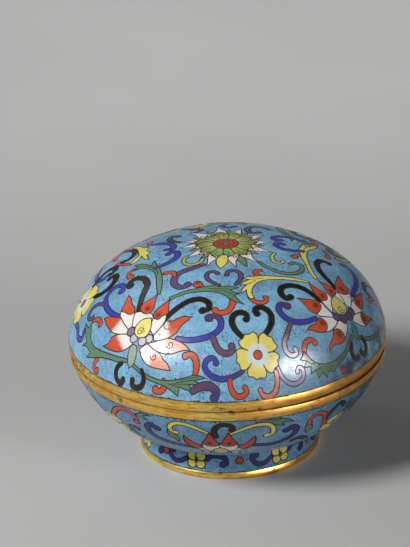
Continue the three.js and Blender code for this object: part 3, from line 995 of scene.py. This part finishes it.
def bowl_lotus(place):
    """Lotus on the bowl's wall: a pair of outer and a pair of inner petals, and a yellow pod."""
    made = []
    outer = [(-2, 17), (-6.5, 16.4), (-11, 14.2), (-13.8, 9.8), (-14.4, 13.6), (-12.8, 18), (-9, 21),
        (-3, 22.6)]
    tip = [(-7.4, 17.2), (-10, 15), (-13.8, 9.8), (-14.2, 13.6), (-12.8, 17.6), (-9.4, 19.6)]
    inner = [(-0.3, 18.6), (0.2, 15), (-2, 12), (-3.6, 6.8), (-5.6, 11.6), (-7.2, 15.2), (-7, 19.4),
        (-3, 22.2)]
    bud = [(-0.6, 15.6), (-1.6, 12), (-3.6, 6.8), (-5.6, 11.6), (-7, 14.8), (-5.4, 16.6), (-2.6, 17)]
    for side in (1, -1):
        made += lotus_petal(place([(side * a, s) for a, s in outer]), 3, base=(214, 208, 202))
        made += flame(place([(side * a, s) for a, s in tip]), 2, colour=DULL_RED)
    for side in (1, -1):
        made += lotus_petal(place([(side * a, s) for a, s in inner]), 3)
        eye = (*place([(-side * 4, 14.4)])[0], 0.8, 90)
        made += flame(place([(side * a, s) for a, s in bud]), 2, eye, DULL_RED)
    for at in (-6.6, 6.6):
        made += disc(LILAC, *place([(at, 23.6)])[0], 1.4)
    pod = [(0, 18), (2.8, 20), (3.4, 22.6), (0, 25), (-3.4, 22.6), (-2.8, 20)]
    return made + patch((196, 190, 116), place(pod), (0,))


def bowl_pattern(shape, arc):
    """Four lotuses and four yellow flowers round the wall, the front and back ones fuller."""
    made = []
    for centre, full in ((266, True), (86, True), (177, False), (357, False)):
        place = partial(on_wall, shape=shape, edge_arc=arc, centre=centre)
        made += bowl_scrolls(place) + (far_scrolls(place) if full else []) + bowl_lotus(place)
    for centre in (216, 318, 36, 138):
        made += blossom(*on_wall([(0, 16)], shape, arc, centre)[0], 5.6, centre)
    return made + edge_bites(BOWL_SHOULDER_RADIUS, 240)


def foot_pattern(shape, arc):
    """Seven yellow four-petalled flowers with dark blue hooks and red discs between them."""
    made = []
    centres = (248, 304, 355.5, 407, 458.5, 510, 561.5)
    for k, centre in enumerate(centres):
        before = centres[k - 1] - (0 if k else 360)
        place = partial(on_wall, shape=shape, edge_arc=arc, centre=centre)
        made += scroll(NAVY, place([(-7, 4.4), (-10.6, 2.8), (-15, 2.3), (-18.6, 3.6), (-20, 6),
            (-17.6, 6.6)]), 0.8, 1.05, 0.6)
        made += scroll(NAVY, place([(7, 5), (9.4, 6.4), (14, 6.7), (18.8, 5.6), (19.6, 3.6),
            (17.4, 3)]), 0.8, 1.05, 0.7)
        made += disc((196, 66, 44), *place([((before - centre) / 2, 4.8)])[0], 1.3)
        for petal in place([(-2.9, 2.8), (2.9, 2.9), (-2.9, 5.9), (2.9, 6)]):
            made += disc(YELLOW, *petal, 1.75)
        for crossing in ([(-1.1, 3.4), (1.1, 5.4)], [(-1.1, 5.4), (1.1, 3.4)]):
            made += wire(place(crossing), 0.36)
    return made


# ---------------------------------------------------------------- materials
def new_group(name, output, **inputs):
    """A node group with its inputs (a place where no number is given) and one output."""
    group = bpy.data.node_groups.new(name, "ShaderNodeTree")
    for key, value in inputs.items():
        kind = "NodeSocketVector" if value is None else "NodeSocketFloat"
        made = group.interface.new_socket(name=key, in_out="INPUT", socket_type=kind)
        if value is not None:
            made.default_value = value
    group.interface.new_socket(name=output, in_out="OUTPUT", socket_type="NodeSocketFloat")
    return group, group.nodes.new("NodeGroupInput"), group.nodes.new("NodeGroupOutput")


def link(tree, start, out, end, into):
    """Joins two nodes' named sockets."""
    tree.links.new(start.outputs[out], end.inputs[into])


def pits_group():
    """Pinholes and specks: a mask that is 1 in each hole and 0 between them."""
    group, enter, leave = new_group("pits_and_specks", "Mask", Place=None, Spacing=400.0, Size=0.1)
    add = group.nodes.new
    spots, pick = add("ShaderNodeTexVoronoi"), add("ShaderNodeSeparateColor")
    spots.feature = "F1"
    link(group, enter, "Place", spots, "Vector")
    link(group, enter, "Spacing", spots, "Scale")
    link(group, spots, "Color", pick, "Color")
    size, half = add("ShaderNodeMath"), add("ShaderNodeMath")
    size.operation = half.operation = "MULTIPLY"
    link(group, pick, "Red", size, 0)
    link(group, enter, "Size", size, 1)
    link(group, size, 0, half, 0)
    half.inputs[1].default_value = 0.6
    edge = add("ShaderNodeMapRange")
    edge.interpolation_type = "SMOOTHSTEP"
    edge.inputs["To Min"].default_value = 1.0
    edge.inputs["To Max"].default_value = 0.0
    link(group, spots, "Distance", edge, "Value")
    link(group, half, 0, edge, "From Min")
    link(group, size, 0, edge, "From Max")
    link(group, edge, "Result", leave, "Mask")
    return group


def cloud_group():
    """Soft uneven patches at a chosen scale, from a low value to a high one."""
    group, enter, leave = new_group("cloudy_patches", "Value", Place=None, Scale=200.0, Detail=3.0,
        From=0.4, To=0.6, Low=0.0, High=1.0)
    noise, spread = (group.nodes.new(kind) for kind in ("ShaderNodeTexNoise", "ShaderNodeMapRange"))
    for name, into in (("Place", "Vector"), ("Scale", "Scale"), ("Detail", "Detail")):
        link(group, enter, name, noise, into)
    link(group, noise, "Fac", spread, "Value")
    for name, into in (("From", "From Min"), ("To", "From Max"), ("Low", "To Min"), ("High", "To Max")):
        link(group, enter, name, spread, into)
    link(group, spread, "Result", leave, "Value")
    return group


PITS = pits_group()
CLOUDS = cloud_group()


class Finish:
    """A material under construction: its shader, and short helpers that add nodes to it."""

    def __init__(self, name):
        self.material = bpy.data.materials.new(name)
        self.material.use_nodes = True
        self.tree = self.material.node_tree
        self.shader = self.tree.nodes["Principled BSDF"]
        self.place = self.added("TexCoord").outputs["Object"]

    def added(self, kind):
        """A new node of the material."""
        return self.tree.nodes.new("ShaderNode" + kind)

    def feed(self, given, into):
        """Gives a socket another node's output, a number, or a colour as seen."""
        if isinstance(given, tuple):
            into.default_value = (*linear(given), 1)
        elif isinstance(given, (int, float)):
            into.default_value = given
        else:
            self.tree.links.new(given, into)

    def grouped(self, group, place, **values):
        """A node group's output."""
        node = self.added("Group")
        node.node_tree = group
        self.feed(place, node.inputs["Place"])
        for key, value in values.items():
            self.feed(value, node.inputs[key])
        return node.outputs[0]

    def pits(self, spacing, size):
        """A mask of small holes, from their number to the metre and their size in spacings."""
        return self.grouped(PITS, self.place, Spacing=spacing, Size=size)

    def clouds(self, scale, detail, start, end, low=0.0, high=1.0, stretch=None):
        """Soft patches between two values, drawn out round the box where a stretch is given."""
        place = self.place
        if stretch:
            squash = self.added("Mapping")
            squash.inputs["Scale"].default_value = (1, 1, stretch)
            self.feed(place, squash.inputs["Vector"])
            place = squash.outputs["Vector"]
        return self.grouped(CLOUDS, place, Scale=scale, Detail=detail, From=start, To=end,
            Low=low, High=high)

    def along(self, axis, start, end, low, high):
        """A value that goes from low to high between two places on an axis, in metres."""
        split, spread = self.added("SeparateXYZ"), self.added("MapRange")
        self.feed(self.place, split.inputs["Vector"])
        self.feed(split.outputs[axis], spread.inputs["Value"])
        for key, value in (("From Min", start), ("From Max", end), ("To Min", low), ("To Max", high)):
            self.feed(value, spread.inputs[key])
        return spread.outputs["Result"]

    def maths(self, operation, first, second):
        """Two values put together."""
        node = self.added("Math")
        node.operation = operation
        self.feed(first, node.inputs[0])
        self.feed(second, node.inputs[1])
        return node.outputs[0]

    def times(self, first, second):
        """One value scaled by another."""
        return self.maths("MULTIPLY", first, second)

    def mixed(self, share, first, second):
        """The first colour with a share of the second."""
        node = self.added("Mix")
        node.data_type = "RGBA"
        for given, into in ((share, "Factor_Float"), (first, "A_Color"), (second, "B_Color")):
            self.feed(given, next(s for s in node.inputs if s.identifier == into))
        return next(s for s in node.outputs if s.identifier == "Result_Color")

    def embossed(self, strength, height):
        """Relief of a tenth of a millimetre at most."""
        bump = self.added("Bump")
        bump.inputs["Strength"].default_value = strength
        bump.inputs["Distance"].default_value = 0.1 * MM
        self.feed(height, bump.inputs["Height"])
        self.feed(bump.outputs["Normal"], self.shader.inputs["Normal"])


def glaze_finish(name, shine):
    """Polished enamel: each cell's own colour, clouded, specked and pinholed, between wires, with patchy
    painted shade towards the box's right side.
    """
    made = Finish(name)
    glaze = made.added("Attribute")
    glaze.attribute_name = "glaze"
    cloison = made.added("Attribute")
    cloison.attribute_name = "cloison"
    wires = cloison.outputs["Fac"]
    enamelled = made.maths("SUBTRACT", 1.0, wires)
    colour, clouded = glaze.outputs["Color"], glaze.outputs["Alpha"]
    ground = made.times(made.maths("POWER", clouded, 2.0), enamelled)
    for scale, detail, start, end, most, shade in (
        (150.0, 3.0, 0.36, 0.68, 0.42, (74, 108, 128)),
        (42.0, 2.0, 0.48, 0.66, 0.3, (78, 112, 132)),
        (520.0, 3.0, 0.46, 0.66, 0.5, (112, 156, 222)),
        (420.0, 2.0, 0.52, 0.8, 0.34, (206, 224, 234)),
    ):
        patches = made.clouds(scale, detail, start, end, 0.0, most)
        colour = made.mixed(made.times(patches, ground), colour, shade)
    dense = made.clouds(110.0, 2.0, 0.38, 0.62, 0.35)
    specks = made.times(made.clouds(1500.0, 2.0, 0.56, 0.65, 0.0, 0.75), dense)
    colour = made.mixed(made.times(specks, clouded), colour, (30, 44, 72))
    # Painted shade: cloudy dark patches on the box's right side, low down, away from the key light.
    patchy_shade = made.clouds(170.0, 4.0, 0.36, 0.6, 0.0, 0.9)
    patchy_shade = made.times(patchy_shade, made.along("X", 0.03, 0.044, 0.0, 1.0))
    patchy_shade = made.times(patchy_shade, made.along("Z", 0.062, 0.05, 0.0, 1.0))
    colour = made.mixed(patchy_shade, colour, (40, 52, 54))
    holes = made.maths("MAXIMUM", made.times(made.pits(900.0, 0.26), 0.8), made.pits(330.0, 0.15))
    holes = made.times(holes, enamelled)
    made.feed(made.mixed(holes, colour, (34, 28, 28)), made.shader.inputs["Base Color"])
    made.feed(made.times(wires, 0.25), made.shader.inputs["Metallic"])
    rough = made.clouds(240.0, 3.0, 0.3, 0.7, 0.24, 0.38)
    rough = made.maths("ADD", rough, made.times(made.maths("ADD", holes, wires), 0.4))
    made.feed(rough, made.shader.inputs["Roughness"])
    made.shader.inputs["Specular IOR Level"].default_value = shine
    height = made.maths("SUBTRACT", made.times(wires, 0.25), holes)
    made.embossed(0.5, made.maths("ADD", height, made.clouds(300.0, 1.0, 0.0, 1.0, 0.0, 0.9)))
    return made.material


def gilt_finish():
    """Old gilding: warm brass tones, rubbed bright in places and browned in others, with painted shade
    towards the box's right side.
    """
    made = Finish("worn_gilt")
    colour = made.mixed(made.clouds(80.0, 4.0, 0.36, 0.66), (255, 226, 122), (252, 198, 86))
    broad = made.clouds(22.0, 2.0, 0.44, 0.62, 0.0, 0.5)
    colour = made.mixed(broad, colour, (220, 152, 74))
    brushed = made.clouds(200.0, 4.0, 0.48, 0.68, 0.0, 0.45, 5.0)
    colour = made.mixed(brushed, colour, (150, 92, 38))
    brown = made.clouds(210.0, 5.0, 0.6, 0.7, 0.0, 0.85, 1.6)
    colour = made.mixed(brown, colour, (74, 44, 22))
    stained = made.times(made.clouds(420.0, 4.0, 0.5, 0.66, stretch=2.5),
        made.along("X", -0.058, -0.04, 0.75, 0.16))
    colour = made.mixed(stained, colour, (104, 62, 26))
    # Painted shade: the gilt turns brown towards the box's right side, where it reflects no light.
    colour = made.mixed(made.along("X", 0.012, 0.05, 0.0, 0.72), colour, (152, 86, 40))
    holes = made.pits(620.0, 0.12)
    made.feed(made.mixed(holes, colour, (52, 30, 16)), made.shader.inputs["Base Color"])
    made.shader.inputs["Metallic"].default_value = 0.8
    rub = made.clouds(420.0, 4.0, 0.3, 0.7, 0.26, 0.44)
    made.feed(made.maths("ADD", rub, made.times(brown, 0.25)), made.shader.inputs["Roughness"])
    made.embossed(0.35, made.maths("SUBTRACT", made.clouds(260.0, 3.0, 0.2, 0.8), holes))
    return made.material


def paper_finish():
    """The floor's matt paper, with a faint unevenness."""
    made = Finish("studio_paper")
    colour = made.mixed(made.clouds(6.0, 2.0, 0.4, 0.6), (190, 190, 189), (187, 187, 186))
    made.feed(colour, made.shader.inputs["Base Color"])
    made.shader.inputs["Roughness"].default_value = 0.6
    made.shader.inputs["Specular IOR Level"].default_value = 0.2
    return made.material


# ---------------------------------------------------------------- gilt rims
def bead_curve(low_radius, low, high_radius, high, count=12):
    """Outer face of a rim, swelling out between two radii."""
    share = np.linspace(0, 1, count)
    swell = (BEAD - 0.1) * np.sin(math.pi * share)
    r = low_radius + (high_radius - low_radius) * share + swell
    return list(zip(r, low + (high - low) * share))


def turned_rim(name, section):
    """A wire loop bent to the rim's section and spun round the box's axis."""
    bpy.ops.object.select_all(action="DESELECT")
    bpy.ops.mesh.primitive_circle_add(vertices=len(section), fill_type="NOTHING")
    rim = bpy.context.object
    rim.name = name
    rim.data.name = name
    for vertex, (radius, height) in zip(rim.data.vertices, section):
        vertex.co = (radius * MM, 0, height * MM)
    bpy.ops.object.mode_set(mode="EDIT")
    bpy.ops.mesh.select_all(action="SELECT")
    bpy.ops.mesh.spin(steps=STEPS, angle=2 * math.pi, center=(0, 0, 0), axis=(0, 0, 1))
    bpy.ops.mesh.select_all(action="SELECT")
    bpy.ops.mesh.remove_doubles(threshold=1e-6)
    bpy.ops.mesh.normals_make_consistent(inside=False)
    bpy.ops.object.mode_set(mode="OBJECT")
    bpy.ops.object.shade_smooth_by_angle(angle=math.radians(32))
    rim.data.materials.append(GILT)
    return rim


# ---------------------------------------------------------------- the box
GLAZE = glaze_finish("cloisonne_enamel", 0.5)
DULL_GLAZE = glaze_finish("duller_enamel", 0.22)
GILT = gilt_finish()


def make_lid():
    """The enamelled dome: patterned outside, plain blue inside."""
    foot = LID_BAND_HEIGHT + SEAT_GAP
    r, z = dome_section(RIM_RADIUS - HAIR / 2, LID_RISE - HAIR, foot)
    shape = surface(r, z, arc_lengths(r, z), SKY)
    inner_r, inner_z = dome_section(RIM_RADIUS - WALL, LID_RISE - WALL, foot, 26)
    edge = (np.array([r[-1], inner_r[-1]]), np.array([z[-1], z[-1]]))
    linings = [("outer", [edge, (inner_r[::-1], inner_z[::-1])], "pole", 1)]
    return enamel_piece("lid_enamel", lid_pattern(), shape, linings, GLAZE, on_lid)


def make_bowl():
    """The enamelled bowl: patterned wall, plain underside and plain inside."""
    r, z = bowl_section()
    # The bowl's ground is the darker one, painted shade.
    shape = surface(r, z, even_plan(r, z, BOWL_SHOULDER_RADIUS), SKY_IN_SHADE)
    shape["side"] = -1
    arc = arc_lengths(shape["r"], shape["z"])
    base_r, base_z = base_section()
    outer_r, outer_z = bowl_section(40)
    inner_r, inner_z = inwards(np.r_[outer_r, base_r[1:]], np.r_[outer_z, base_z[1:]], WALL)
    inner_r[-1] = 0
    inner_z[0] = outer_z[0]
    edge = (np.array([outer_r[0], inner_r[0]]), np.array([outer_z[0], outer_z[0]]))
    linings = [
        ("inner", [(base_r, base_z)], "pole", 1),
        ("outer", [edge, (inner_r, inner_z)], "pole", -1),
    ]
    return enamel_piece("bowl_enamel", bowl_pattern(shape, arc), shape, linings, DULL_GLAZE)


def make_foot():
    """The enamelled foot ring, patterned outside."""
    top, low = FOOT_HEIGHT - 2 * HAIR, FOOT_EDGE_HEIGHT + HAIR
    z = np.linspace(low, top, 40)
    share = (z - low) / (top - low)
    r = FOOT_EDGE_RADIUS - 0.5 - 1.0 * share + 0.2 * share**2
    r = FOOT_TOP_RADIUS + (r - r[-1])
    # The foot's ground is the darker one, painted shade.
    shape = surface(r, z, even_plan(r, z, FOOT_EDGE_RADIUS), SKY_IN_SHADE)
    arc = arc_lengths(shape["r"], shape["z"])
    inside, brow = FOOT_TOP_RADIUS - WALL, top - 0.9
    under = (np.array([r[0], inside]), np.array([low, low]))
    wall = (np.array([inside, inside]), np.array([low, brow]))
    over = (np.array([inside, r[-1]]), np.array([brow, top]))
    linings = [("outer", [under, wall, over], "inner", 1)]
    return enamel_piece("foot_enamel", foot_pattern(shape, arc), shape, linings, DULL_GLAZE)


def make_rims():
    """The three gilt rims: lid's, bowl's with its upright flange, and the foot's edge."""
    inside, edge = RIM_RADIUS - RIM_THICKNESS, RIM_RADIUS - BEAD
    lid_top = LID_BAND_HEIGHT + SEAT_GAP - HAIR
    section = [(inside, lid_top), (inside, 0.5), (inside + 0.5, 0)]
    section += bead_curve(edge - HAIR, 0, edge + 0.2 - HAIR, lid_top)
    lid_rim = turned_rim("lid_gilt_rim", section)
    spots = np.array([v.co for v in lid_rim.data.vertices]) / MM
    spots, _ = on_lid(spots, spots)
    lid_rim.data.vertices.foreach_set("co", (spots * MM).astype(np.float32).ravel())
    lid_rim.data.update()
    low, top = BOWL_RIM_HEIGHT - BOWL_BAND_HEIGHT + HAIR, BOWL_RIM_HEIGHT + FLANGE_HEIGHT
    flange = inside - FLANGE_CLEARANCE
    section = [(flange - FLANGE_THICKNESS, low)]
    section += bead_curve(BOWL_SHOULDER_RADIUS, low, edge, BOWL_RIM_HEIGHT)
    section += [(flange, BOWL_RIM_HEIGHT), (flange, top - 0.4), (flange - 0.4, top),
        (flange - FLANGE_THICKNESS, top)]
    bowl_rim = turned_rim("bowl_gilt_rim", section)
    inside, edge = FOOT_TOP_RADIUS - WALL, FOOT_EDGE_RADIUS
    section = [(inside, FOOT_EDGE_HEIGHT), (inside, 0.4), (inside + 0.4, 0), (edge - 0.7, 0),
        (edge - 0.2, 0.3), (edge - 0.02, 0.8), (edge - 0.01, 1.3), (edge - 0.12, 1.9),
        (edge - 0.5, FOOT_EDGE_HEIGHT)]
    return lid_rim, bowl_rim, turned_rim("foot_gilt_edge", section)


lid_rim, bowl_rim, foot_rim = make_rims()
for piece, node, slot in (
    (make_lid(), "lid_dome", "enamel"),
    (make_bowl(), "bowl", "enamel"),
    (make_foot(), "foot_ring", "enamel"),
    (lid_rim, "lid_rim", "gilt"),
    (bowl_rim, "bowl_rim", "gilt"),
    (foot_rim, "foot_edge", "gilt"),
):
    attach(piece, "root")
    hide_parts(node)

# ---------------------------------------------------------------- floor, camera and light
# Sizes and places from here on are in metres.
CAMERA_PLACE = (0, -0.8875, 0.4625)
CAMERA_LENS = 171.1
PITCH, YAW, ROLL = math.radians(23.923), math.radians(-0.507), math.radians(-1.482)
scene = bpy.context.scene
scene.view_settings.view_transform = "Standard"


def make_floor():
    """A sheet of pale paper that bends up behind the box in a wide curve."""
    bpy.ops.object.select_all(action="DESELECT")
    bpy.ops.mesh.primitive_plane_add(size=2.4, location=(0, 0.5, 0))
    floor = bpy.context.object
    floor.name = "floor"
    bpy.ops.object.mode_set(mode="EDIT")
    bpy.ops.mesh.select_all(action="DESELECT")
    bpy.ops.object.mode_set(mode="OBJECT")
    for edge in floor.data.edges:
        edge.select = all(floor.data.vertices[i].co.y > 1 for i in edge.vertices)
    bpy.ops.object.mode_set(mode="EDIT")
    bpy.context.tool_settings.mesh_select_mode = (False, True, False)
    bpy.ops.mesh.extrude_region_move(TRANSFORM_OT_translate={"value": (0, 0.1, 1.6)})
    bpy.ops.object.mode_set(mode="OBJECT")
    bpy.ops.object.modifier_add(type="BEVEL")
    bend = floor.modifiers[-1]
    bend.width, bend.segments, bend.angle_limit = 0.5, 16, math.radians(30)
    bpy.ops.object.modifier_apply(modifier=bend.name)
    bpy.ops.object.shade_smooth()
    floor.data.materials.append(paper_finish())
    bpy.ops.object.transform_apply(location=True)


def placed(name, data):
    """A camera or a light in the scene."""
    made = bpy.data.objects.new(name, data)
    scene.collection.objects.link(made)
    return made


def make_camera():
    """A long lens in front of the box, looking down on it and turned a little on its axis."""
    scene.camera = placed("camera", bpy.data.cameras.new("camera"))
    scene.camera.data.lens = CAMERA_LENS
    scene.camera.data.clip_end = 20
    level = math.cos(PITCH)
    ahead = Vector((math.sin(YAW) * level, math.cos(YAW) * level, -math.sin(PITCH)))
    right = Vector((math.cos(YAW), -math.sin(YAW), 0))
    up = right.cross(ahead)
    across = right * math.cos(ROLL) + up * math.sin(ROLL)
    above = up * math.cos(ROLL) - right * math.sin(ROLL)
    turn = Matrix((across, above, -ahead)).transposed().to_4x4()
    scene.camera.matrix_world = Matrix.Translation(CAMERA_PLACE) @ turn


def soft_light(name, azimuth, elevation, distance, size, watts):
    """A round soft box that faces the box from an azimuth and height, in degrees."""
    light = bpy.data.lights.new(name, "AREA")
    light.shape = "DISK"
    light.size = size
    light.energy = watts
    lamp = placed(name, light)
    a, e = math.radians(azimuth), math.radians(elevation)
    aim = Vector((math.cos(a) * math.cos(e), math.sin(a) * math.cos(e), math.sin(e)))
    lamp.location = aim * distance + Vector((0, 0, 0.04))
    lamp.rotation_euler = aim.to_track_quat("Z", "Y").to_euler()
    return lamp


def light_the_scene():
    """Soft boxes at both sides and behind, a glow in the glaze, and a wash on the backdrop."""
    soft_light("key", -148, 42, 1.2, 0.42, 13.8)
    soft_light("front", -43, 24, 1.2, 0.34, 2.9)
    soft_light("glow", -42, 21, 1.2, 0.42, 18.0).visible_diffuse = False
    soft_light("back", 134, 45, 1.4, 0.5, 0.85)
    wash = bpy.data.lights.new("wash", "SPOT")
    wash.energy = 27
    wash.spot_size = math.radians(60)
    wash.spot_blend = 1.0
    wash.shadow_soft_size = 0.1
    lamp = placed("wash", wash)
    lamp.location = (0.1, 0.5, 1.2)
    lamp.rotation_euler = (math.radians(8), 0, 0)
    scene.world = bpy.data.worlds.new("studio")
    scene.world.use_nodes = True
    background = scene.world.node_tree.nodes["Background"]
    background.inputs["Color"].default_value = (1, 1, 1, 1)
    background.inputs["Strength"].default_value = 0.025


make_floor()
make_camera()
light_the_scene()
